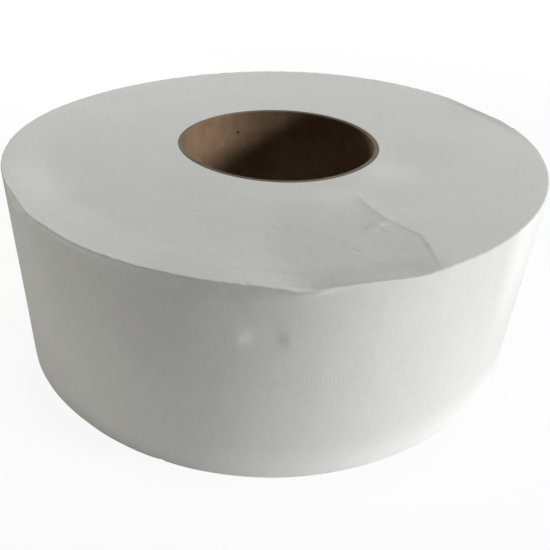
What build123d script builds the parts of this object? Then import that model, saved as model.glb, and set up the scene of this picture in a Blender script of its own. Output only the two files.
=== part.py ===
from build123d import *
import os
from math import cos, radians, sin

os.makedirs("parts", exist_ok=True)

# A jumbo roll of two-ply tissue standing on one end: +Z is the core's axis, the origin is
# the axis at the lower end face, and -Y is the side with the pressed rim.
# Driving dimensions, in millimetres and degrees.
winding_radius = 116.0
sheet_width = 82.0
bore_radius = 42.0
board_thickness = 2.2
core_inset = 0.6
board_chamfer = 0.3

# The outer lap ends in a tail: its edge is a small step in the wall.
tail_angle = 15.0
tail_step = 0.5

# Out-of-round of the wall and rise of the upper face at the rim, as cosine and sine
# amounts for one, two and three waves around the roll.
wall_waves = [(-1.0, 0.6), (-0.7, 0.6), (0.5, 1.15)]
face_waves = [(1.1, -0.5), (0.2, 1.5), (0.1, -0.6)]

# The turns were wound in bands that stand a little proud of each other on the upper face:
# every second band is lower. The face it stands on was pressed flat.
band_width = 8.0
band_drop = 0.3

# The front rim was pushed in: a shallow valley between a crease and a soft shoulder.
crease_angle = 300.0
valley_angle = 274.5
shoulder_angle = 252.0
valley_depth = 1.9
valley_start_radius = 58.0

# Flats knocked on the upper rim: azimuth, how far in from the wall and how far down it.
rim_flats = [(217.0, 1.3, 5.0), (29.5, 2.4, 4.0)]

core_radius = bore_radius + board_thickness
core_length = sheet_width - 2 * core_inset
wall_allowance = sum(abs(amount) for wave in wall_waves for amount in wave)
face_allowance = sum(abs(amount) for wave in face_waves for amount in wave)
largest_radius = winding_radius + tail_step + wall_allowance
blank_height = sheet_width + face_allowance
cutter_margin = 8.0
outline_spans = 36
face_spans = 12


def wall_radius(angle):
    # mean radius plus each wave's cosine and sine at this angle
    return winding_radius + sum(
        a * cos(n * radians(angle)) + b * sin(n * radians(angle))
        for n, (a, b) in enumerate(wall_waves, start=1)
    )


def face_height(x, y):
    # sheet width plus each wave, growing with the distance from the axis to its own power
    place = complex(x, y) / winding_radius
    return sheet_width + sum(
        (complex(a, -b) * place**n).real for n, (a, b) in enumerate(face_waves, start=1)
    )


def on_circle(radius, angle):
    return radius * cos(radians(angle)), radius * sin(radians(angle))


def outline_point(share):
    # one turn of a spiral: the lap grows by the tail's step on its way round
    angle = tail_angle + 360.0 * share
    return on_circle(wall_radius(angle) + tail_step * (share - 0.5), angle)


def upper_face(drop):
    # the wavy upper face, lowered by drop, as a square sheet wider than the roll
    reach = largest_radius + cutter_margin
    steps = [reach * (2 * i / face_spans - 1) for i in range(face_spans + 1)]
    rows = [[(x, y, face_height(x, y) - drop) for x in steps] for y in steps]
    return Face.make_surface_from_array_of_points(rows, tol=0.001)


# The lower bands' inner radii, the largest first so that each band's middle is cut before
# the next smaller band is drawn in it
band_count = int((winding_radius - wall_allowance - core_radius) / (2 * band_width))
lower_bands = [core_radius + band_width * (2 * i + 1) for i in reversed(range(band_count))]

with BuildPart() as upper_bands:
    with BuildSketch():
        for band_radius in lower_bands:
            Circle(band_radius + band_width)
            Circle(band_radius, mode=Mode.SUBTRACT)
    extrude(amount=blank_height)
    extrude(upper_face(band_drop), amount=blank_height, dir=(0, 0, 1), mode=Mode.INTERSECT)

# The valley is a pyramid lying on its side, with its tip at the crease's inner end
tip_place = on_circle(valley_start_radius, crease_angle)
valley_reach = largest_radius + cutter_margin
valley_scale = (valley_reach - valley_start_radius) / (winding_radius - valley_start_radius)
valley_base = Plane(
    origin=(*on_circle(valley_reach, valley_angle), sheet_width),
    x_dir=(-sin(radians(valley_angle)), cos(radians(valley_angle)), 0),
    z_dir=(cos(radians(valley_angle)), sin(radians(valley_angle)), 0),
)
crease_reach = valley_reach * sin(radians(crease_angle - valley_angle))
shoulder_reach = valley_reach * sin(radians(valley_angle - shoulder_angle))

with BuildPart() as rim_valley:
    with BuildSketch(valley_base):
        with BuildLine():
            Polyline(
                (crease_reach, face_allowance),
                (crease_reach, 0),
                (0, -valley_depth * valley_scale),
                (-shoulder_reach, 0),
                (-shoulder_reach, face_allowance),
                close=True,
            )
        make_face()
    loft(sections=[rim_valley.pending_faces[0], Vertex(*tip_place, face_height(*tip_place))])

# All the turns are one solid, from the core to the outer lap
with BuildPart() as wound_tissue:
    with BuildSketch():
        with BuildLine():
            outer_lap = Spline(*[outline_point(i / outline_spans) for i in range(outline_spans + 1)])
            Line(outer_lap @ 1, outer_lap @ 0)
        make_face()
        Circle(core_radius, mode=Mode.SUBTRACT)
    extrude(amount=blank_height)
    extrude(upper_face(0), amount=blank_height, dir=(0, 0, 1), mode=Mode.SUBTRACT)
    add(upper_bands.part, mode=Mode.SUBTRACT)
    add(rim_valley.part, mode=Mode.SUBTRACT)
    for flat_angle, flat_in, flat_down in rim_flats:
        rim_place = on_circle(wall_radius(flat_angle), flat_angle)
        flat_centre = on_circle(wall_radius(flat_angle) - flat_in, flat_angle)
        outward = (flat_down * cos(radians(flat_angle)), flat_down * sin(radians(flat_angle)), flat_in)
        along = (-sin(radians(flat_angle)), cos(radians(flat_angle)), 0)
        with BuildSketch(Plane((*flat_centre, face_height(*rim_place)), along, outward)):
            Rectangle(winding_radius, winding_radius)
        extrude(amount=winding_radius, mode=Mode.SUBTRACT)
wound_tissue.part.label = "wound_tissue"
export_step(wound_tissue.part, "parts/wound_tissue.step")

# The cardboard tube: the winding's first turn is glued to it
with BuildPart() as core_tube:
    with BuildSketch(Plane.XY.offset(core_inset)):
        Circle(core_radius)
        Circle(bore_radius, mode=Mode.SUBTRACT)
    extrude(amount=core_length)
    bore_edges = core_tube.edges().filter_by(GeomType.CIRCLE).group_by(SortBy.RADIUS)[0]
    chamfer(bore_edges, length=board_chamfer)
core_tube.part.label = "core_tube"
export_step(core_tube.part, "parts/core_tube.step")
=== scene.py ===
from math import cos, pi, radians, sin

import bpy
import numpy as np
from mathutils import Matrix, Vector


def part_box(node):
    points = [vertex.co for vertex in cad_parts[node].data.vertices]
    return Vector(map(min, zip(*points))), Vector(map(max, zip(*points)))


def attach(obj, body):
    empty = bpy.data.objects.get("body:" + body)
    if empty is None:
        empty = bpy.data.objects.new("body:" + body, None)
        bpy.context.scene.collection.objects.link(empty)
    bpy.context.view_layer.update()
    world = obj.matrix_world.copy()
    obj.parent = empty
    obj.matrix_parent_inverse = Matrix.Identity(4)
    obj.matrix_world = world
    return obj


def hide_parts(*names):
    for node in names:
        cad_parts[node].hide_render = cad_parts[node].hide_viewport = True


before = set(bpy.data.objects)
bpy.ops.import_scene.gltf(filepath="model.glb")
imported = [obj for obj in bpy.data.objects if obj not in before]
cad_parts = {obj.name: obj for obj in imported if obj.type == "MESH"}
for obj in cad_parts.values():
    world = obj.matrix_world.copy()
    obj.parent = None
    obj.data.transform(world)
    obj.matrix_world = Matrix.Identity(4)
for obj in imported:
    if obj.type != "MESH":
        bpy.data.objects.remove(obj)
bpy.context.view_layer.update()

mm = 0.001
print("frame loaded:", ", ".join(sorted(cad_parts)))


# Small shapes that the surfaces below are put together from

def softStep(x, low, high):
    # 0 below low, 1 above high, and three t squared less two t cubed in between
    t = np.clip((x - low) / (high - low), 0, 1)
    return t * t * (3 - 2 * t)


def bell(x, middle, width):
    # e to the minus square of the distance from middle over width
    return np.exp(-(((x - middle) / width) ** 2))


def degreesFrom(angle, middle):
    # degrees from middle to angle, the short way round, with a sign
    return (angle - middle + 180) % 360 - 180


def packed(low, high, count, busy, loop=False):
    # values from low to high, closer together at each busy place (place, width, extra): even
    # steps of the running sum of a density of one plus a bell at each place
    samples = 6001
    fine = np.linspace(low, high, samples)
    density = 1 + sum(extra * bell(fine, place, width) for place, width, extra in busy)
    total = np.concatenate([[0], np.cumsum((density[1:] + density[:-1]) / 2)])
    return np.interp(np.linspace(0, total[-1], count, endpoint=not loop), total, fine)


def throughPoints(value, points):
    # straight from each (place, amount) to the next, and level past the ends
    return np.interp(value, [p[0] for p in points], [p[1] for p in points])


def nearLine(x, y, line):
    # a bell across the straight line from one place to the other, fading at its ends
    x1, y1, x2, y2, width = line
    length = np.hypot(x2 - x1, y2 - y1)
    along = ((x - x1) * (x2 - x1) + (y - y1) * (y2 - y1)) / length
    across = ((y - y1) * (x2 - x1) - (x - x1) * (y2 - y1)) / length
    past = np.maximum(np.maximum(-along, along - length), 0)
    return bell(across, 0, width) * bell(past, 0, width)


def ripples(angle, height, seed, count, tallest, slowest, fastest):
    # a sum of cosines with whole numbers of waves round the roll and any number along its axis,
    # each a little weaker than the one before
    mostAlong = 0.12
    weakening = 0.25
    draw = np.random.default_rng(seed)
    total = 0
    for k in range(count):
        waves = draw.integers(slowest, fastest + 1)
        along = draw.uniform(-mostAlong, mostAlong)
        phase = draw.uniform(0, 2 * pi)
        wave = np.cos(waves * np.radians(angle) + along * height + phase)
        total = total + wave / (1 + weakening * k)
    return tallest * total / count


# The winding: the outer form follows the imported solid's, with the dents worked in finely. Lengths
# are in millimetres and azimuths in degrees. The taper is how far the foot draws in by azimuth, and
# each busy place, where the grid is finer, is (place, width, extra)

winding = {
    "radius": 116.0,
    "width": 82.0,
    "coreRadius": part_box("core_tube")[1].x / mm,
    "wallWaves": [(-0.55, 0.6), (-0.7, 0.6), (0.5, 1.15)],
    "faceWaves": [(1.1, -0.5), (0.2, 1.5), (0.1, -0.6)],
    "tailAngle": 15.0,
    "tailStep": 0.5,
    "taper": [
        (0, 0.9), (90, 0.6), (180, 0.7), (202, 0.6), (213, -0.3), (222, -0.4), (234, 0.0),
        (258, 0.1), (272, 0.0), (300, 0.4), (336, 0.9), (360, 0.9),
    ],
    "footRound": 0.7,
    "bandWidth": 8.0,
    "bandRise": 0.02,
    "wander": {"seed": 4, "count": 14, "tallest": 0.22, "slowest": 5, "fastest": 46},
    "lowerRelief": 0.12,
    "lowerFade": 0.1,
    "upperFrom": 40,
    "columns": 470,
    "rows": {"bore": 5, "face": 118, "rim": 9, "wall": 58, "foot": 5, "lower": 15},
    "busyOutward": [(0.0, 0.0015, 40.0), (1.0, 0.25, 2.0)],
    "busyDown": [(0.0, 0.07, 5.0), (0.25, 0.1, 1.6), (1.0, 0.04, 2.0)],
    "busyAngles": [
        (300.0, 7.0, 3.0), (270.0, 34.0, 2.3), (276.4, 2.7, 5.0), (15.0, 1.2, 14.0),
        (216.0, 9.0, 2.0),
    ],
}
# The upper rim hangs over the wall as a lip: how far it stands out by azimuth, and the heights
# below the rim between which it falls back to the wall
lip = {
    "out": [
        (218.0, 0.0), (226.0, 0.45), (236.0, 0.5), (243.0, 0.35), (250.0, 0.15), (262.0, 0.22),
        (269.0, 0.4), (273.6, 0.95), (276.0, 1.3), (277.8, 1.0), (280.6, 0.5), (284.0, 0.15),
        (287.0, 0.0),
    ],
    "under": (0.3, 2.8),
}
# The rim's own rounding: crisp on the left, fullest at the lip's tip, softer past it and behind
rounding = {
    "crisp": 0.45,
    "tip": {"azimuth": 275.7, "span": 3.2, "more": 0.95, "fade": (276.3, 278.9)},
    "past": {"azimuth": 276.9, "span": 3, "more": 0.3},
    "back": {"azimuth": 20.0, "span": 50, "more": 0.5},
}
# Rise of the rim over the face waves by azimuth: a wide swell, and a dip at the lip's tip,
# which fade inward over their reaches
rimLine = {
    "swell": [
        (80.0, 0.0), (105.0, -0.2), (130.0, -0.3), (155.0, -0.2), (180.0, 0.0), (196.0, 0.0),
        (206.0, 0.3), (215.0, 0.35), (220.0, -0.1), (224.0, -0.7), (227.0, -0.65), (230.0, -0.25),
        (234.0, -0.35), (240.0, -0.4), (245.0, 0.0), (250.8, 0.1), (253.0, 0.35), (257.0, 0.6),
        (262.0, 0.65), (268.0, 0.55), (274.0, 0.3), (280.0, 0.35), (284.0, 0.25), (288.0, 0.05),
        (292.0, -0.15), (300.0, 0.0),
    ],
    "swellReach": 30.0,
    "dip": [
        (267.0, 0.0), (269.0, -0.1), (270.5, -0.3), (272.0, -0.5), (273.4, -0.65), (275.9, -0.9),
        (277.8, -0.75), (280.0, -0.45), (283.0, -0.2), (286.0, -0.05), (288.5, 0.0), (291.0, -0.2),
        (294.0, -0.4), (297.0, -0.2), (300.0, 0.0),
    ],
    "dipReach": 9.0,
    "fray": {"seed": 21, "count": 20, "tallest": 1.2, "slowest": 60, "fastest": 210},
    "frayReach": 1.8,
}
# A painted highlight along the very edge of the rim, with painted shade where the share is below
# nought: how much paler or darker it is by azimuth, as a share of the finish's amount, and the half
# width of that edge, which lies a little inside the rim
edgeLightBand = {"inset": 0.2, "halfWidth": 0.8}
edgeLightShares = [
    (215.0, 0.0), (235.0, 1.0), (271.0, 1.0), (273.2, 4.0), (277.0, 4.0), (278.4, 0.0),
    (280.0, -2.0), (284.0, -0.8), (300.0, -0.8), (320.0, 0.0),
]
# Painted light and shade on the outer lap, as shares of its tone by azimuth: paler just above the
# foot, a painted bounce of light from the floor; paler high up on the left and right, painted
# light;
# and darker in a painted shade under the lip, which is full down to its near depth and gone at its
# far one
wallPaintedLight = {
    "foot": [
        (0.0, 0.02), (60.0, 0.05), (200.0, 0.15), (232.0, 0.12), (246.0, 0.07), (253.0, 0.06),
        (262.0, 0.14), (280.0, 0.18), (325.0, 0.18), (342.0, 0.03), (360.0, 0.02),
    ],
    "footReach": 18.0,
    "upperRise": (20, 75),
    "upper": [
        (180.0, 0.0), (196.0, 0.08), (214.0, 0.12), (222.0, 0.08), (232.0, 0.0), (272.0, 0.0),
        (288.0, 0.07), (292.0, 0.07), (301.0, 0.02), (308.0, 0.01), (315.0, -0.01), (321.0, 0.2),
        (333.0, 0.14), (345.0, 0.0), (360.0, 0.0),
    ],
    "paintedLipShade": [
        (236.0, 0.0), (250.0, -0.05), (262.0, -0.12), (265.8, -0.13), (268.0, -0.16),
        (270.2, -0.12), (272.4, -0.14), (275.6, -0.15), (277.2, 0.0),
    ],
    "underNear": [(250.0, 2.2), (264.0, 2.0), (268.0, 1.6), (272.0, 1.3), (275.4, 0.8)],
    "underFar": [
        (250.0, 9.0), (264.0, 10.0), (268.0, 8.0), (270.2, 5.5), (272.4, 4.5), (275.8, 2.2),
    ],
}
# Painted light and shade in bands of the face along its rim, as shares of its tone: azimuth, amount
# and reach inward; paler round the left, darker round the back and at the front right. Each keeps
# its amount over the first part of its reach
bandKept = 0.35
paintedRimBands = [
    (0.0, 0.0, 9.0), (10.0, -0.08, 9.0), (18.0, -0.2, 9.0), (29.0, -0.24, 10.0), (35.0, -0.18, 9.5),
    (41.0, -0.05, 9.0), (50.0, 0.0, 12.0), (80.0, -0.01, 16.0), (110.0, -0.05, 38.0),
    (140.0, -0.08, 42.0), (152.0, -0.04, 36.0), (165.0, 0.0, 24.0), (198.0, 0.03, 26.0),
    (210.0, 0.12, 26.0), (222.0, 0.14, 30.0), (235.0, 0.1, 30.0), (247.0, 0.06, 26.0),
    (255.0, 0.0, 18.0), (262.0, -0.02, 14.0), (268.0, 0.0, 12.0), (274.0, -0.02, 11.0),
    (280.0, -0.07, 15.0), (290.0, -0.08, 16.0), (297.0, -0.02, 12.0), (304.0, 0.0, 9.0),
    (360.0, 0.0, 9.0),
]
# The front rim was pushed in between a crease, given as places (y, x) across the face with a step
# by y, and a soft shoulder. The wall below it leans in, most at its top
press = {
    "crease": [
        (-46.0, 27.5), (-57.5, 32.7), (-65.3, 35.9), (-70.5, 39.8), (-74.0, 44.0), (-77.5, 47.0),
        (-80.2, 49.9), (-86.4, 51.2), (-90.5, 52.1), (-95.8, 52.3), (-100.0, 53.0), (-106.0, 54.6),
    ],
    "stepAlong": [
        (-106, 0.25), (-98, 0.5), (-90, 0.9), (-84, 1.0), (-76, 0.7), (-66, 0.6), (-56, 0.45),
        (-46, 0.0),
    ],
    "step": 0.17,
    "stepWidth": 1.7,
    "stepStart": -0.4,
    "stepFade": (0.2, 0.9),
    "shoulder": 262.0,
    "shoulderFade": 12,
    "innerRadius": 56.0,
    "innerFade": 0.2,
    "depth": 0.85,
    "valleyReach": 42.0,
    "wallIn": 1.0,
    "wallReach": 12.0,
    "leanRise": {"azimuth": 276.1, "from": -16, "to": 3},
    "leanFall": {"azimuth": 300.0, "from": -22, "to": 0},
    # the share of the pushed part's painted shade that lies even over it, the rest growing toward
    # the rim
    "evenShade": 0.4,
}
# Patches of the face with their own finish: middle and width along x, then along y. The scuffed one
# is pitted and carries painted shade
patches = {"scuffsAndShade": (4.0, 46.0, -88.0, 26.0), "wrinkled": (15.0, 40.0, -103.0, 14.0)}
# Below the lip the wall falls back and comes out again lower down
recess = {
    "share": [(234.0, 0.0), (250.0, 0.9), (262.0, 1.0), (270.0, 0.7), (278.0, 0.25), (288.0, 0.0)],
    "depth": 0.6,
    "top": 7.0,
    "fade": (14.0, 42.0),
}
# Wrinkles on the face: from and to places, half width, and height (below nought for a groove)
wrinkles = [
    (30.6, -78.9, 36.4, -74.4, 0.9, 0.18), (36.4, -74.4, 45.9, -63.3, 0.9, 0.14),
    (45.9, -63.3, 66.2, -41.3, 1.0, 0.05), (37.5, -78.5, 40.5, -77.9, 0.8, 0.16),
    (29.8, -77.8, 32.4, -73.5, 1.4, -0.16), (31.0, -53.5, 38.0, -69.0, 3.0, 0.16),
    (8.5, -56.1, 14.6, -46.6, 0.9, -0.06), (26.2, -92.6, 27.4, -93.2, 0.8, -0.2),
]
# Soft swells of the face: a shallow trough round the left, inside the raised outer turns, and a
# collar beside the core
swells = [
    {"azimuth": 204.0, "span": 35.0, "radius": 97.0, "inward": 26.0, "outward": 13.0, "rise": -0.5},
    {"azimuth": 325.0, "span": 28.0, "radius": 44.0, "inward": 1.0, "outward": 12.0, "rise": 0.4},
]
# Flats knocked on the upper rim: azimuth, how far in from the wall and how far down it. The left
# one gets painted light, paler wherever it was laid back by more than a hair
laidBack = 0.04
rimFlats = [(215.4, 0.6, 5.2), (29.5, 2.4, 4.0)]
# A flat-bottomed hollow that a thumb left in the wall
hollow = {
    "azimuth": 269.3, "height": 62.3, "depth": 0.65,
    "halfWidth": 5.9, "halfHeight": 3.3, "edge": 5.5,
}
# A nick in the foot: azimuth, half width and depth
footNick = {"azimuth": 251.6, "halfWidth": 1.1, "depth": 0.55}


def waveSum(waves, angle):
    # each wave's cosine and sine amounts times those of one, two and three turns of the angle
    turns = np.radians(angle)
    return sum(a * np.cos(n * turns) + b * np.sin(n * turns) for n, (a, b) in enumerate(waves, 1))


def creaseSide(x, y):
    # millimetres to the right of the crease, which is a bent line across the face
    places = sorted(press["crease"])
    return x - np.interp(y, [p[0] for p in places], [p[1] for p in places])


def pressShare(angle, radius):
    # how far a place lies in the pushed part: full beside the crease, none past the shoulder,
    # growing from the inner radius to the rim
    x = radius * np.cos(np.radians(angle))
    y = radius * np.sin(np.radians(angle))
    left = softStep(-creaseSide(x, y), press["stepStart"], press["stepWidth"])
    fromShoulder = degreesFrom(angle, press["shoulder"])
    left = left * softStep(fromShoulder, 0, press["shoulderFade"]) * (y < 0)
    span = winding["radius"] - press["innerRadius"]
    outward = np.clip((radius - press["innerRadius"]) / span, 0, 1)
    return left * outward, left * softStep(outward, 0, press["innerFade"])


def pressDepth(angle, radius):
    # the valley deepens over the first part of a sine away from the crease, plus the crease's own
    # small step, which fades away from it
    x = radius * np.cos(np.radians(angle))
    y = radius * np.sin(np.radians(angle))
    depthShare, stepShare = pressShare(angle, radius)
    fromCrease = np.clip(-creaseSide(x, y) / press["valleyReach"], 0, 1)
    stepFade = 1 - softStep(fromCrease, *press["stepFade"])
    step = press["step"] * throughPoints(y, press["stepAlong"]) * stepShare * stepFade
    return press["depth"] * depthShare * np.sin(0.5 * pi * fromCrease) + step


def faceHeight(angle, radius):
    # sheet width, plus each wave growing with the radius to its own power, plus the bands of
    # turns, the wrinkles and the swells, less the pushed part, and near the rim the rise, dip and
    # fray of its line, in which the pushed part is made good
    share = radius / winding["radius"]
    turns = np.radians(angle)
    height = winding["width"] + sum(
        share**n * (a * np.cos(n * turns) + b * np.sin(n * turns))
        for n, (a, b) in enumerate(winding["faceWaves"], 1)
    )
    fromCore = radius - winding["coreRadius"]
    height = height + winding["bandRise"] * np.cos(pi * fromCore / winding["bandWidth"])
    x = radius * np.cos(turns)
    y = radius * np.sin(turns)
    for wrinkle in wrinkles:
        height = height + wrinkle[5] * nearLine(x, y, wrinkle[:5])
    for swell in swells:
        width = np.where(radius < swell["radius"], swell["inward"], swell["outward"])
        near = bell(degreesFrom(angle, swell["azimuth"]), 0, swell["span"])
        height = height + swell["rise"] * near * bell(radius, swell["radius"], width)
    wall = wallRadius(angle, winding["width"])
    inward = wall - radius
    lift = throughPoints(angle, rimLine["swell"]) * (1 - softStep(inward, 0, rimLine["swellReach"]))
    dip = throughPoints(angle, rimLine["dip"]) + pressDepth(angle, wall)
    dip = dip * (1 - softStep(inward, 0, rimLine["dipReach"]))
    fray = ripples(angle, 0, **rimLine["fray"]) * (1 - softStep(inward, 0, rimLine["frayReach"]))
    return height - pressDepth(angle, radius) + lift + dip + fray


def leanShare(angle):
    # the wall leans in below the pushed rim, most past the tip, and not at all at the crease
    rise, fall = press["leanRise"], press["leanFall"]
    first = softStep(degreesFrom(angle, rise["azimuth"]), rise["from"], rise["to"])
    last = 1 - softStep(degreesFrom(angle, fall["azimuth"]), fall["from"], fall["to"])
    return first * last * (angle > 180)


def wallRadius(angle, height):
    # the mean radius and its waves, plus a lap that grows by the tail's step on its way round,
    # less the hollow, the nick in the foot and a taper that grows evenly down to the foot, plus
    # slow ripples
    lap = ((angle - winding["tailAngle"]) % 360) / 360
    radius = winding["radius"] + waveSum(winding["wallWaves"], angle)
    radius = radius + winding["tailStep"] * (lap - 0.5)
    across = np.abs(np.radians(degreesFrom(angle, hollow["azimuth"])) * winding["radius"])
    halfEdge = hollow["edge"] / 2
    sides = 1 - softStep(across, hollow["halfWidth"] - halfEdge, hollow["halfWidth"] + halfEdge)
    radius = radius - hollow["depth"] * sides * bell(height, hollow["height"], hollow["halfHeight"])
    across = np.radians(degreesFrom(angle, footNick["azimuth"])) * winding["radius"]
    nick = bell(across, 0, footNick["halfWidth"]) * bell(height, 0, footNick["halfWidth"])
    taper = throughPoints(angle, winding["taper"]) * (1 - height / winding["width"])
    return radius - taper - footNick["depth"] * nick + ripples(angle, height, **winding["wander"])


def rimWall(angle, height, rimHeight):
    # the wall's radius, plus the lip, less the pushed part's lean and the recess
    under = rimHeight - height
    out = throughPoints(angle, lip["out"]) * (1 - softStep(under, *lip["under"]))
    out = out - press["wallIn"] * leanShare(angle) * np.exp(-under / press["wallReach"])
    back = softStep(under, 0, recess["top"]) * (1 - softStep(under, *recess["fade"]))
    back = back * recess["depth"] * throughPoints(angle, recess["share"])
    return wallRadius(angle, height) + out - back


def rimRound(angle):
    # a crisp radius, plus a bell at the lip's tip that fades past it, a step up from there to the
    # far side, and a wide bell behind on the right
    tip, past, back = rounding["tip"], rounding["past"], rounding["back"]
    full = tip["more"] * bell(angle, tip["azimuth"], tip["span"])
    full = full * (1 - softStep(angle, *tip["fade"]))
    soft = past["more"] * softStep(degreesFrom(angle, past["azimuth"]), 0, past["span"])
    soft = soft * (angle > 180)
    wide = back["more"] * bell(degreesFrom(angle, back["azimuth"]), 0, back["span"])
    return rounding["crisp"] + full + soft + wide


def knock(x, y, z, flat):
    # whatever stands past a plane is laid on it: the point less its own reach along the normal,
    # which is handed on too
    angle, inBy, downBy = flat
    turn = radians(angle)
    reach = float(wallRadius(np.array(angle), winding["width"]))
    rim = float(faceHeight(np.array(angle), np.array(reach)))
    normal = Vector((downBy * cos(turn), downBy * sin(turn), inBy)).normalized()
    start = Vector(((reach - inBy) * cos(turn), (reach - inBy) * sin(turn), rim))
    past = (x - start.x) * normal.x + (y - start.y) * normal.y + (z - start.z) * normal.z
    past = np.maximum(past, 0)
    return x - past * normal.x, y - past * normal.y, z - past * normal.z, past


def paintedLapLight(angle, z, rimZ):
    # the outer lap's painted light and shade, added up
    foot = throughPoints(angle, wallPaintedLight["foot"]) * (1 - softStep(z, 0, wallPaintedLight["footReach"]))
    upper = throughPoints(angle, wallPaintedLight["upper"]) * softStep(z, *wallPaintedLight["upperRise"])
    near = throughPoints(angle, wallPaintedLight["underNear"])
    far = throughPoints(angle, wallPaintedLight["underFar"])
    below = 1 - softStep((rimZ - z - near) / (far - near), 0, 1)
    return foot + upper + throughPoints(angle, wallPaintedLight["paintedLipShade"]) * below


def paintedFaceLight(angle, radius):
    # the painted light and shade along the rim, each band fading inward over its reach
    amount = throughPoints(angle, [(a, share) for a, share, reach in paintedRimBands])
    reach = throughPoints(angle, [(a, reach) for a, share, reach in paintedRimBands])
    inward = wallRadius(angle, winding["width"]) - radius
    return amount * (1 - softStep(inward / reach, bandKept, 1))


def windingSurface():
    # one closed section for each angle, carried round the axis: up the bore, out over the face,
    # round the rim, down the wall, round the foot and back in
    rows = winding["rows"]
    angle = packed(0, 360, winding["columns"], winding["busyAngles"], loop=True)[:, None]
    rimZ = faceHeight(angle, wallRadius(angle, winding["width"]))
    corner = rimRound(angle)
    foot = winding["footRound"]
    rimR = rimWall(angle, rimZ - corner, rimZ)
    footR = wallRadius(angle, foot)
    core = winding["coreRadius"]

    upBore = np.linspace(0, 1, rows["bore"], endpoint=False)[None, :]
    boreZ = upBore * faceHeight(angle, np.full_like(angle, core))
    boreR = np.full_like(boreZ, core)

    outward = packed(0, 1, rows["face"], winding["busyOutward"])[None, :]
    faceR = core + (rimR - corner - core) * outward
    faceZ = faceHeight(angle, faceR)

    bend = np.linspace(0, pi / 2, rows["rim"] + 2)[None, 1:-1]
    cornerZ = faceHeight(angle, rimR - corner) - corner
    rimArcR = rimR - corner + corner * np.sin(bend)
    rimArcZ = cornerZ + corner * np.cos(bend)

    down = packed(0, 1, rows["wall"], winding["busyDown"])[None, :]
    wallZ = cornerZ + (foot - cornerZ) * down
    wallR = rimWall(angle, wallZ, rimZ)

    tuck = np.linspace(0, pi / 2, rows["foot"] + 2)[None, 1:-1]
    footArcR = footR - foot + foot * np.cos(tuck)
    footArcZ = foot - foot * np.sin(tuck)

    inwardShare = np.linspace(0, 1, rows["lower"])[None, :]
    lowerR = footR - foot + (core - footR + foot) * inwardShare
    relief = 0.5 - 0.5 * np.cos(2 * pi * (lowerR - core) / winding["bandWidth"])
    fade = winding["lowerFade"]
    lowerZ = winding["lowerRelief"] * relief * softStep(inwardShare, 0, fade)
    lowerZ = lowerZ * softStep(1 - inwardShare, 0, fade)

    radius, z = sideBySide([
        (boreR, boreZ), (faceR, faceZ), (rimArcR, rimArcZ),
        (wallR, wallZ), (footArcR, footArcZ), (lowerR, lowerZ),
    ])
    x = radius * np.cos(np.radians(angle))
    y = radius * np.sin(np.radians(angle))
    # the left flat's mask, which carries painted light
    knocked = 0
    for flat in rimFlats:
        x, y, z, past = knock(x, y, z, flat)
        knocked = knocked + softStep(past, 0, laidBack) * (flat[0] > 180)
    upper = z > winding["upperFrom"]
    # the pushed part, which carries painted shade
    growing, even = pressShare(angle, radius)
    evenShade = press["evenShade"]
    # the rim's edge, which carries a painted highlight and painted shade
    band = edgeLightBand["halfWidth"]
    paintedEdgeLight = bell(radius, rimWall(angle, z, rimZ) - edgeLightBand["inset"], band)
    paintedEdgeLight = paintedEdgeLight * bell(z, faceHeight(angle, radius), band)
    patch = {
        name: bell(x, middleX, widthX) * bell(y, middleY, widthY) * upper
        for name, (middleX, widthX, middleY, widthY) in patches.items()
    }
    return np.stack([x, y, z], axis=-1), {
        **patch,
        "pushed": (evenShade * even + (1 - evenShade) * growing) * upper,
        "paintedEdgeLight": paintedEdgeLight * throughPoints(angle, edgeLightShares),
        "paintedLapLight": paintedLapLight(angle, z, rimZ) * (1 - knocked),
        "paintedFaceLight": paintedFaceLight(angle, radius) * upper,
        "knocked": knocked,
    }


def sideBySide(blocks):
    # the radii and heights of several stretches of a section, joined into one
    spread = [np.broadcast_arrays(r, z) for r, z in blocks]
    return tuple(np.concatenate(parts, axis=1) for parts in zip(*spread))


def gridPiece(name, points, finishRow, attributes):
    # a quad for each cell of a grid that closes on itself both ways, wound so that it faces out,
    # with the number of its finish
    columns, rows = points.shape[:2]
    i, j = np.meshgrid(np.arange(columns), np.arange(rows), indexing="ij")
    nextI = (i + 1) % columns
    nextJ = (j + 1) % rows
    corners = [i * rows + j, i * rows + nextJ, nextI * rows + nextJ, nextI * rows + j]
    quads = np.stack(corners, axis=-1).reshape(-1, 4).astype(np.int32)
    slots = np.broadcast_to(finishRow, (columns, rows)).ravel().astype(np.int32)
    mesh = bpy.data.meshes.new(name)
    mesh.vertices.add(columns * rows)
    mesh.vertices.foreach_set("co", (points * mm).astype(np.float32).ravel())
    mesh.loops.add(quads.size)
    mesh.loops.foreach_set("vertex_index", quads.ravel())
    mesh.polygons.add(len(quads))
    mesh.polygons.foreach_set("loop_start", np.arange(0, quads.size, 4, dtype=np.int32))
    mesh.polygons.foreach_set("material_index", slots)
    mesh.polygons.foreach_set("use_smooth", np.ones(len(quads), dtype=bool))
    for label, values in attributes.items():
        layer = mesh.attributes.new(label, "FLOAT", "POINT")
        layer.data.foreach_set("value", values.astype(np.float32).ravel())
    mesh.update(calc_edges=True)
    mesh.validate()
    piece = bpy.data.objects.new(name, mesh)
    bpy.context.scene.collection.objects.link(piece)
    return piece


# The core board: a tube of wound strips, with a soft edge where it was cut. The tones are painted
# light and shade by azimuth, as shares: of the bore above its shaded lower part, of its mouth, and
# of the cut end

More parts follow.
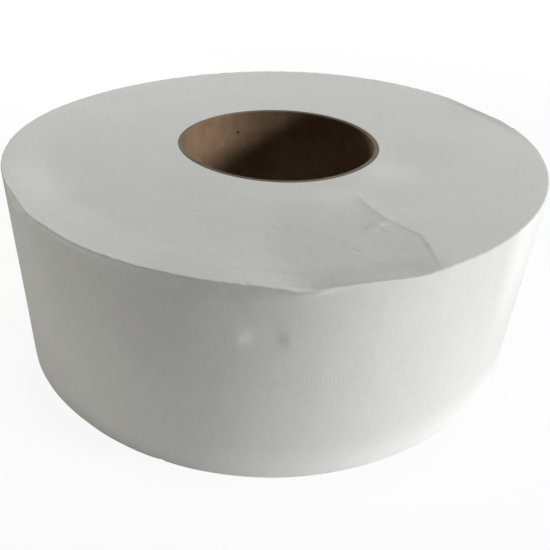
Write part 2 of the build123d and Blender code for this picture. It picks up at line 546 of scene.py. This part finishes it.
board = {
    "bore": 42.0,
    "outer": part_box("core_tube")[1].x / mm,
    "low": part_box("core_tube")[0].z / mm,
    "lowRise": 0.08,
    "below": 0.04,
    "wave": {"seed": 9, "count": 12, "tallest": 0.1, "slowest": 2, "fastest": 34},
    "columns": 300,
    "rows": {"bore": 60, "end": 9, "outside": 6},
    "stripPitch": 62.0,
    "seamDepth": 0.07,
    "seamWidth": 0.7,
    "endRound": 0.35,
    "endFade": (0.05, 0.3),
    "hair": 0.01,
    "toneRise": (20, 60),
    "upperRise": (66, 78),
    "paintedMouthShade": [(40.0, 0.0), (70.0, -0.2), (84.0, -0.3), (100.0, -0.2), (115.0, 0.0)],
    "tone": [
        (40.0, 0.0), (88.0, 0.0), (98.0, -0.2), (112.0, -0.27), (122.0, -0.18), (132.0, -0.06),
        (142.0, 0.0), (158.0, 0.05), (176.0, -0.03), (190.0, -0.25), (220.0, -0.2), (260.0, -0.1),
        (300.0, 0.0),
    ],
    "paintedEndShade": [
        (0.0, 0.0), (30.0, -0.3), (60.0, -0.35), (90.0, -0.2), (120.0, 0.0), (200.0, 0.0),
        (215.0, -0.15), (240.0, -0.4), (270.0, -0.3), (290.0, -0.05), (305.0, 0.0), (360.0, 0.0),
    ],
}


def boardSurface():
    # a rounded oblong section carried round the axis; the bore has a shallow groove along a
    # helix; its upper end keeps just below the wavy face, and both cut ends rise and fall a little
    rows = board["rows"]
    angle = np.linspace(0, 360, board["columns"], endpoint=False)[:, None]
    edge = board["endRound"]
    wave = ripples(angle, 0, **board["wave"])
    top = faceHeight(angle, np.full_like(angle, board["outer"])) - board["below"] + wave
    low = board["low"] - wave + board["lowRise"]

    def straight(startR, startZ, endR, endZ, count):
        share = np.linspace(0, 1, count)[None, :]
        return startR + (endR - startR) * share, startZ + (endZ - startZ) * share

    def quarter(middleR, middleZ, first, count=4):
        bend = np.linspace(first, first - pi / 2, count + 2)[None, 1:-1]
        return middleR + edge * np.cos(bend), middleZ + edge * np.sin(bend)

    inner, outer = board["bore"], board["outer"]
    radius, height = sideBySide([
        straight(inner, low + edge, inner, top - edge, rows["bore"]),
        quarter(inner + edge, top - edge, pi),
        straight(inner + edge, top, outer - edge, top, rows["end"]),
        quarter(outer - edge, top - edge, pi / 2),
        straight(outer, top - edge, outer, low + edge, rows["outside"]),
        quarter(outer - edge, low + edge, 0),
        straight(outer - edge, low, inner + edge, low, rows["end"]),
        quarter(inner + edge, low + edge, -pi / 2),
    ])
    turnsUp = (height / board["stripPitch"] - angle / 360) % 1
    seam = bell((turnsUp - 0.5) * board["stripPitch"], 0, board["seamWidth"])
    inside = radius < inner + board["hair"]
    radius = radius + inside * (board["seamDepth"] * seam)
    x = radius * np.cos(np.radians(angle))
    y = radius * np.sin(np.radians(angle))
    endShare = softStep(radius - inner, *board["endFade"]) * (radius < outer - board["hair"])
    # painted light and shade on the bore, darker in its mouth and on the cut end
    boreLight = throughPoints(angle, board["tone"]) * softStep(height, *board["toneRise"])
    mouthShade = throughPoints(angle, board["paintedMouthShade"]) * softStep(height, *board["upperRise"])
    paintedEndShade = throughPoints(angle, board["paintedEndShade"])
    tone = (boreLight + mouthShade) * (1 - endShare) + paintedEndShade * endShare
    return np.stack([x, y, height], axis=-1), {"cutEnd": endShare, "boardPaintedLight": tone}


# Finishes

class Tree:
    # a material's or world's nodes, with short ways to add and join them
    def __init__(self, owner, output):
        owner.use_nodes = True
        self.owner = owner
        self.nodes = owner.node_tree.nodes
        self.links = owner.node_tree.links
        self.nodes.clear()
        self.output = self.nodes.new(output)

    def add(self, kind, inputs=None, **settings):
        node = self.nodes.new("ShaderNode" + kind)
        for key, value in settings.items():
            setattr(node, key, value)
        for key, value in (inputs or {}).items():
            if isinstance(value, bpy.types.NodeSocket):
                self.links.new(value, node.inputs[key])
            else:
                node.inputs[key].default_value = value
        return node

    def show(self, shader):
        # the shader goes to the output, and the finished owner is handed back
        self.links.new(shader.outputs[0], self.output.inputs["Surface"])
        return self.owner

    def math(self, operation, *values):
        return self.add("Math", dict(enumerate(values)), operation=operation).outputs[0]

    def total(self, *values):
        total = values[0]
        for value in values[1:]:
            total = self.math("ADD", total, value)
        return total

    def range(self, value, low, high, toLow, toHigh, smooth=False):
        node = self.add(
            "MapRange",
            {"Value": value, "From Min": low, "From Max": high, "To Min": toLow, "To Max": toHigh},
            interpolation_type="SMOOTHSTEP" if smooth else "LINEAR",
        )
        return node.outputs["Result"]

    def noise(self, vector, scale, detail=4.0, roughness=0.55):
        inputs = {"Vector": vector, "Scale": scale, "Detail": detail, "Roughness": roughness}
        return self.add("TexNoise", inputs).outputs["Fac"]

    def swing(self, noise, least, most):
        # noise lies mostly between these two, which go to the least and the most
        usualLow, usualHigh = 0.3, 0.7
        return self.range(noise, usualLow, usualHigh, least, most)

    def stretched(self, vector, x, y, z):
        node = self.add("VectorMath", {0: vector, 1: (x, y, z)}, operation="MULTIPLY")
        return node.outputs["Vector"]

    def distance(self, vector, x, y, z):
        node = self.add("VectorMath", {0: vector, 1: (x, y, z)}, operation="DISTANCE")
        return node.outputs["Value"]

    def vertexValue(self, name, share=None):
        # a value stored on the mesh, times a share if one is given
        value = self.add("Attribute", attribute_name=name).outputs["Fac"]
        return value if share is None else self.math("MULTIPLY", value, share)

    def place(self):
        return self.add("TexCoord").outputs["Object"]

    def grey(self, share):
        # a colour of three equal shares
        return self.add("CombineColor", {0: share, 1: share, 2: share}).outputs[0]

    def seen(self):
        # 1 for what the camera, a reflection or glass sees, 0 for what lights the roll
        path = self.add("LightPath").outputs
        straight = self.math("MAXIMUM", path["Is Camera Ray"], path["Is Transmission Ray"])
        return self.math("MAXIMUM", straight, path["Is Glossy Ray"])


def newFinish(name):
    # an empty material
    return Tree(bpy.data.materials.new(name), "ShaderNodeOutputMaterial")


def paperShader(finish, tone, heights, sheen, gloss):
    # matt paper of one tone, with its bumps (height, strength, distance) added one on another
    roughness, sheenRoughness = 0.9, 0.6
    normal = None
    for height, strength, distance in heights:
        inputs = {"Height": height, "Strength": strength, "Distance": distance}
        if normal is not None:
            inputs["Normal"] = normal
        normal = finish.add("Bump", inputs).outputs["Normal"]
    shader = finish.add("BsdfPrincipled", {
        "Base Color": tone,
        "Roughness": roughness,
        "Specular IOR Level": gloss,
        "Sheen Weight": sheen,
        "Sheen Roughness": sheenRoughness,
        "Normal": normal,
    })
    return finish.show(shader)


def tinted(finish, colour, share):
    # the colour times a grey share
    inputs = {6: colour, 7: finish.grey(share), "Factor": 1.0}
    return finish.add("Mix", inputs, data_type="RGBA", blend_type="MULTIPLY").outputs[2]


def spots(finish, place, marks):
    # round marks (x, y, z, radius, amount): each adds its amount, fading from its middle
    total = 0.0
    for x, y, z, radius, amount in marks:
        away = finish.distance(place, x * mm, y * mm, z * mm)
        total = finish.math("ADD", total, finish.range(away, 0, radius * mm, amount, 0, True))
    return total


# The tissue's colours, its amounts as shares of them, and its noises: their scales per metre or,
# where they run round the axis, their turns and their pitch in millimetres. The amounts for the
# pushed part, the scuffed part and the pits are painted shade, the one for the left flat painted
# light, and the one for the rim's edge a painted highlight
tissue = {
    "lap": (0.803, 0.795, 0.757, 1),
    "end": (0.79, 0.792, 0.744, 1),
    "pushedShade": 0.10,
    "scuffsAndShade": 0.05,
    "edgeLightAmount": 0.04,
    "knocked": 0.25,
    "cloud": 0.03,
    "mottle": 0.018,
    "crepe": 0.01,
    "streak": 0.015,
    "pitted": 0.03,
    "cloudScale": 28.0,
    "mottleScale": 330.0,
    "crepeScale": 1500.0,
    "crepeStretch": 0.16,
    "fibreScale": 2600.0,
    "gritScale": 900.0,
    "pitScale": 250.0,
    "streakTurns": 2.2,
    "streakPitch": 1.1,
    "wrinkleTurns": 55.0,
    "wrinklePitch": 4.5,
    "sheen": 0.45,
    "gloss": 0.2,
}
# Marks of the face and of the outer lap: place, radius and amount. The wide soft ones are painted
# light and shade; on the face the small pale ones along the crease and its ridges are a painted
# highlight and the small dark ones in the crease and its grooves painted shade, as is the dark one
# at the nick in the foot; the rest are specks
faceSpecksAndPaintedLight = [
    (51.2, -86.4, 82, 1.4, -0.13), (26.8, -93.0, 82, 1.1, -0.14), (40.5, -77.9, 82, 1.0, 0.12),
    (37.0, -74.4, 82, 2.8, 0.05), (31.0, -76.3, 82, 3.2, -0.07), (5.8, 58.4, 82, 1.3, -0.10),
    (52.7, -5.7, 82, 1.6, -0.06), (-64.3, -21.6, 82, 1.5, 0.05), (-61.6, -21.9, 82, 1.2, -0.06),
    (10.2, -107.0, 82, 1.2, 0.06), (-50.0, -73.0, 82, 1.1, -0.05), (46.6, -75.6, 82, 1.0, -0.08),
    (44.0, -31.0, 82, 19.0, 0.11), (24.0, -56.0, 82, 16.0, 0.08), (66.0, -3.0, 82, 30.0, -0.06),
    (-30.0, -52.0, 82, 30.0, -0.03), (92.0, 48.0, 82, 34.0, -0.06), (37.5, -74.0, 82, 3.2, 0.05),
    (41.0, -70.0, 82, 2.8, 0.05), (45.0, -64.5, 82, 2.8, 0.045), (34.6, -79.0, 82, 1.8, 0.12),
    (38.0, -74.2, 82, 1.6, 0.06),
]
lapSpecksAndPaintedShade = [
    (-43.3, -107.6, 49.0, 1.7, -0.06), (-37.0, -109.9, 1.2, 1.4, -0.12),
    (7.6, -115.8, 1.5, 1.0, -0.08), (0.0, -115.5, 75.0, 16.0, -0.07),
    (46.0, -106.5, 80.5, 1.3, 0.05), (50.5, -104.5, 81.8, 0.9, -0.12),
]
# A short row of plain crimp ticks across the front of the wall, which hold the two plies together:
# the ticks are counted for a whole turn, and the row fades over its last degrees and millimetres
crimp = {
    "azimuth": 274.0, "halfSpan": 11.5, "fadeDegrees": 2,
    "height": 44.6, "halfHeight": 1.3, "fadeHeight": 0.5,
    "ticks": 480, "share": 0.04,
}


def mottled(finish, place):
    # soft clouds and a finer mottle, as a share
    cloud = finish.noise(place, tissue["cloudScale"], 3.0)
    mottle = finish.noise(place, tissue["mottleScale"], 2.0)
    return finish.math(
        "ADD",
        finish.swing(cloud, 1 - tissue["cloud"], 1),
        finish.swing(mottle, -tissue["mottle"], tissue["mottle"]),
    )


def crimpTicks(finish, place):
    # the tops of a wave round the axis, kept where the azimuth and the height lie within the row
    split = finish.add("SeparateXYZ", {0: place})
    front = finish.math("MULTIPLY", split.outputs[1], -1.0)
    turned = finish.math("ARCTAN2", split.outputs[0], front)
    wave = finish.math("SINE", finish.math("MULTIPLY", turned, float(crimp["ticks"])))
    comb = finish.range(wave, 0.1, 0.9, 0, 1, True)
    middle = radians(crimp["azimuth"] - 270)
    end = radians(crimp["halfSpan"])
    start = radians(crimp["halfSpan"] - crimp["fadeDegrees"])
    offset = finish.math("ABSOLUTE", finish.math("SUBTRACT", turned, middle))
    along = finish.range(offset, start, end, 1, 0, True)
    edge = crimp["halfHeight"] * mm
    inner = (crimp["halfHeight"] - crimp["fadeHeight"]) * mm
    level = finish.math("ABSOLUTE", finish.math("SUBTRACT", split.outputs[2], crimp["height"] * mm))
    tall = finish.range(level, inner, edge, 1, 0, True)
    return finish.math("MULTIPLY", comb, finish.math("MULTIPLY", along, tall))


def lapFinish():
    # the outer lap: fine crepe along the axis, soft clouds and fibres, marks and the crimp ticks,
    # with painted light and shade from its tone, the rim's edge and the left flat
    finish = newFinish("outer_lap_tissue")
    place = finish.place()
    crepePlace = finish.stretched(place, 1, 1, tissue["crepeStretch"])
    crepe = finish.noise(crepePlace, tissue["crepeScale"], 3.0)
    fibre = finish.noise(place, tissue["fibreScale"], 2.0)
    ticks = crimpTicks(finish, place)
    # the tone, the rim's edge, the left flat and some of the marks below are painted light and
    # shade
    share = finish.total(
        mottled(finish, place),
        finish.vertexValue("paintedLapLight"),
        finish.swing(crepe, -tissue["crepe"], tissue["crepe"]),
        spots(finish, place, lapSpecksAndPaintedShade),
        finish.math("MULTIPLY", ticks, -crimp["share"]),
        finish.vertexValue("paintedEdgeLight", tissue["edgeLightAmount"]),
        finish.vertexValue("knocked", tissue["knocked"]),
    )
    colour = tinted(finish, tissue["lap"], share)
    heights = [(crepe, 0.25, 0.1 * mm), (fibre, 0.15, 0.08 * mm), (ticks, 0.3, -0.1 * mm)]
    return paperShader(finish, colour, heights, tissue["sheen"], tissue["gloss"])


def turnedPlace(finish, split, radius, turns, pitch):
    # a place for noise that runs round the axis: the direction times turns, and the radius over a
    # pitch in millimetres
    return finish.add("CombineXYZ", {
        0: finish.math("MULTIPLY", split.outputs[0], turns),
        1: finish.math("MULTIPLY", split.outputs[1], turns),
        2: finish.math("DIVIDE", radius, pitch * mm),
    }).outputs[0]


def endFinish():
    # the cut edges of the turns: streaks that follow the winding, clouds, marks, pits in the
    # scuffed part and small wrinkles beside the front rim, with painted light and shade along the
    # rim, on the pushed and scuffed parts, in the pits and on the left flat
    finish = newFinish("cut_turns_tissue")
    place = finish.place()
    flat = finish.stretched(place, 1, 1, 0)
    radius = finish.add("VectorMath", {0: flat}, operation="LENGTH").outputs["Value"]
    direction = finish.add("VectorMath", {0: flat}, operation="NORMALIZE").outputs["Vector"]
    split = finish.add("SeparateXYZ", {0: direction})
    turns, pitch = tissue["streakTurns"], tissue["streakPitch"]
    streak = finish.noise(turnedPlace(finish, split, radius, turns, pitch), 1.0, 3.0, 0.6)
    grit = finish.noise(place, tissue["gritScale"], 2.0)
    pits = finish.range(finish.noise(place, tissue["pitScale"], 2.0), 0.5, 0.8, 0, 1, True)
    # the pits; their darkening in the share below is painted shade
    pitted = finish.math("MULTIPLY", pits, finish.vertexValue("scuffsAndShade"))
    turns, pitch = tissue["wrinkleTurns"], tissue["wrinklePitch"]
    wrinkle = finish.noise(turnedPlace(finish, split, radius, turns, pitch), 1.0, 2.0)
    wrinkle = finish.math("MULTIPLY", wrinkle, finish.vertexValue("wrinkled"))
    # the tone along the rim, the pushed and scuffed parts, the pits, the rim's edge, the left flat
    # and some of the marks below are painted light and shade
    share = finish.total(
        mottled(finish, place),
        finish.vertexValue("paintedFaceLight"),
        finish.range(streak, 0.25, 0.75, -tissue["streak"], tissue["streak"]),
        finish.vertexValue("pushed", -tissue["pushedShade"]),
        finish.vertexValue("scuffsAndShade", -tissue["scuffsAndShade"]),
        finish.vertexValue("paintedEdgeLight", tissue["edgeLightAmount"]),
        finish.vertexValue("knocked", tissue["knocked"]),
        finish.math("MULTIPLY", pitted, -tissue["pitted"]),
        spots(finish, place, faceSpecksAndPaintedLight),
    )
    colour = tinted(finish, tissue["end"], share)
    heights = [
        (streak, 0.3, 0.12 * mm), (grit, 0.2, 0.15 * mm),
        (pitted, 0.25, -0.2 * mm), (wrinkle, 0.3, 0.3 * mm),
    ]
    return paperShader(finish, colour, heights, tissue["sheen"], tissue["gloss"])


# The board's colours and its noises' scales, and two marks in the bore
boardTones = {
    "bore": (0.257, 0.166, 0.102, 1),
    "cutEnd": (0.245, 0.215, 0.17, 1),
    "mottleScale": 160.0,
    "grainScale": 1400.0,
    "grainStretch": 0.35,
    "gloss": 0.1,
}
boardMarks = [(-20.5, 36.7, 71.8, 1.2, -0.8), (-3.5, 41.9, 78.6, 0.9, 0.35)]


def boardFinish():
    # brown board, mottled, with the paper's grain running round the tube, and painted light and
    # shade on the bore, its mouth and the cut end
    finish = newFinish("core_board")
    place = finish.place()
    mottle = finish.noise(place, boardTones["mottleScale"], 4.0)
    grainPlace = finish.stretched(place, boardTones["grainStretch"], boardTones["grainStretch"], 1)
    grain = finish.noise(grainPlace, boardTones["grainScale"], 3.0)
    share = finish.total(
        finish.swing(mottle, 0.88, 1.1),
        finish.swing(grain, -0.05, 0.05),
        finish.vertexValue("boardPaintedLight"),
        spots(finish, place, boardMarks),
    )
    endShare = finish.vertexValue("cutEnd")
    inputs = {6: boardTones["bore"], 7: boardTones["cutEnd"], "Factor": endShare}
    colour = finish.add("Mix", inputs, data_type="RGBA").outputs[2]
    heights = [(mottle, 0.15, 0.2 * mm), (grain, 0.3, 0.08 * mm)]
    return paperShader(finish, tinted(finish, colour, share), heights, 0.0, boardTones["gloss"])


def makeWinding():
    # the outer lap's finish, the second, covers the rows from the middle of the rim to the foot
    points, tones = windingSurface()
    rows = winding["rows"]
    finishRow = np.zeros((1, points.shape[1]), dtype=np.int32)
    firstLap = rows["bore"] + rows["face"] + rows["rim"] // 2
    lastLap = rows["bore"] + rows["face"] + rows["rim"] + rows["wall"] + rows["foot"]
    finishRow[:, firstLap:lastLap] = 1
    piece = gridPiece("wound_turns", points, finishRow, tones)
    piece.data.materials.append(endFinish())
    piece.data.materials.append(lapFinish())
    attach(piece, "root")
    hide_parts("wound_tissue")
    print("winding:", len(piece.data.polygons) * 2, "triangles")


def makeBoard():
    points, tones = boardSurface()
    piece = gridPiece("core_board", points, np.zeros((1, 1)), tones)
    piece.data.materials.append(boardFinish())
    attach(piece, "root")
    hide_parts("core_tube")
    print("core board:", len(piece.data.polygons) * 2, "triangles")


# Studio, in metres, degrees and watts: a pale floor and surround, two soft lamps on the right, and
# weaker ones left, behind and above. Far from the roll the floor throws less light back and looks
# whiter

coolTint = (0.955, 0.97, 1.0)
warmTint = (1.0, 1.0, 0.95)
studio = {
    "floorRadius": 4.0,
    "floorDrop": 0.0002,
    "floorNear": 0.25,
    "floorFar": 0.6,
    "floorPale": 0.97,
    "floorDim": 0.3,
    "floorWhite": 0.92,
    "whiteNear": 0.16,
    "aimHeight": 0.06,
    "lamps": {
        "key": {
            "azimuth": 345.0, "elevation": 18.0, "distance": 1.2, "size": 0.25, "power": 8.95,
            "tint": coolTint,
        },
        "side": {
            "azimuth": 336.0, "elevation": 15.0, "distance": 1.2, "size": 0.25, "power": 3.5,
            "tint": coolTint,
        },
        "left": {
            "azimuth": 195.0, "elevation": -0.6, "distance": 1.2, "size": 0.05, "power": 3.25,
            "tint": warmTint,
        },
        "back": {
            "azimuth": 115.0, "elevation": 8.0, "distance": 0.6, "size": 0.12, "power": 1.78,
            "tint": warmTint,
        },
        "top": {
            "azimuth": 0.0, "elevation": 89.0, "distance": 1.0, "size": 0.15, "power": 2.55,
            "tint": warmTint,
        },
    },
}


def makeFloor():
    # a thin wide disc; the camera sees it paler than the lamps do, with the shadow kept
    count = 128
    angle = np.linspace(0, 2 * pi, count, endpoint=False)
    rim = np.stack([np.cos(angle), np.sin(angle), np.zeros(count)], axis=1) * studio["floorRadius"]
    rim[:, 2] = -studio["floorDrop"]
    mesh = bpy.data.meshes.new("floor")
    mesh.from_pydata(rim.tolist(), [], [list(range(count))])
    floor = bpy.data.objects.new("floor", mesh)
    bpy.context.scene.collection.objects.link(floor)
    finish = newFinish("pale_floor")
    near, far = studio["floorNear"], studio["floorFar"]
    reach = finish.add("VectorMath", {0: finish.place()}, operation="LENGTH").outputs["Value"]
    tone = finish.range(reach, near, far, studio["floorPale"], studio["floorDim"], True)
    matt = finish.add("BsdfDiffuse", {"Color": finish.grey(tone)})
    white = finish.add("Emission", {"Color": (1, 1, 1, 1), "Strength": 1.0})
    whiteness = finish.range(reach, studio["whiteNear"], far, studio["floorWhite"], 1.0, True)
    share = finish.math("MULTIPLY", finish.seen(), whiteness)
    mixed = finish.add("MixShader", {0: share, 1: matt.outputs[0], 2: white.outputs[0]})
    mesh.materials.append(finish.show(mixed))


def makeSurround():
    # seen as white all round, and no light on the roll
    world = bpy.data.worlds.new("surround")
    bpy.context.scene.world = world
    tree = Tree(world, "ShaderNodeOutputWorld")
    white = tree.add("Background", {"Color": (1, 1, 1, 1), "Strength": 1.0})
    tree.show(tree.add("MixShader", {0: tree.seen(), 2: white.outputs[0]}))


def makeLamp(name, lamp):
    # a square lamp that faces the middle of the roll, from its azimuth and elevation
    turn, rise = radians(lamp["azimuth"]), radians(lamp["elevation"])
    outward = Vector((cos(turn) * cos(rise), sin(turn) * cos(rise), sin(rise)))
    light = bpy.data.lights.new(name, "AREA")
    light.shape = "SQUARE"
    light.size = lamp["size"]
    light.energy = lamp["power"]
    light.color = lamp["tint"]
    holder = bpy.data.objects.new(name, light)
    holder.location = Vector((0, 0, studio["aimHeight"])) + outward * lamp["distance"]
    holder.rotation_mode = "QUATERNION"
    holder.rotation_quaternion = (-outward).to_track_quat("-Z", "Y")
    bpy.context.scene.collection.objects.link(holder)


# The camera, with its place in millimetres and its turns in degrees
camera = {
    "lens": 42.8,
    "sensor": 36.0,
    "clip": (0.01, 50.0),
    "place": (0.0, -276.2, 186.25),
    "pitchDown": 32.23,
    "roll": 3.01,
    "turnRight": 0.295,
}


def makeCamera():
    data = bpy.data.cameras.new("camera")
    data.lens = camera["lens"]
    data.sensor_width = camera["sensor"]
    data.clip_start, data.clip_end = camera["clip"]
    viewer = bpy.data.objects.new("camera", data)
    turned = Matrix.Rotation(-radians(camera["turnRight"]), 4, "Z")
    tipped = Matrix.Rotation(radians(90 - camera["pitchDown"]), 4, "X")
    rolled = Matrix.Rotation(radians(camera["roll"]), 4, "Z")
    moved = Matrix.Translation(Vector(camera["place"]) * mm)
    viewer.matrix_world = moved @ turned @ tipped @ rolled
    bpy.context.scene.collection.objects.link(viewer)
    bpy.context.scene.camera = viewer


makeWinding()
makeBoard()
makeFloor()
makeSurround()
for lampName, lamp in studio["lamps"].items():
    makeLamp(lampName, lamp)
makeCamera()
bpy.context.scene.view_settings.view_transform = "Standard"
print("studio ready")
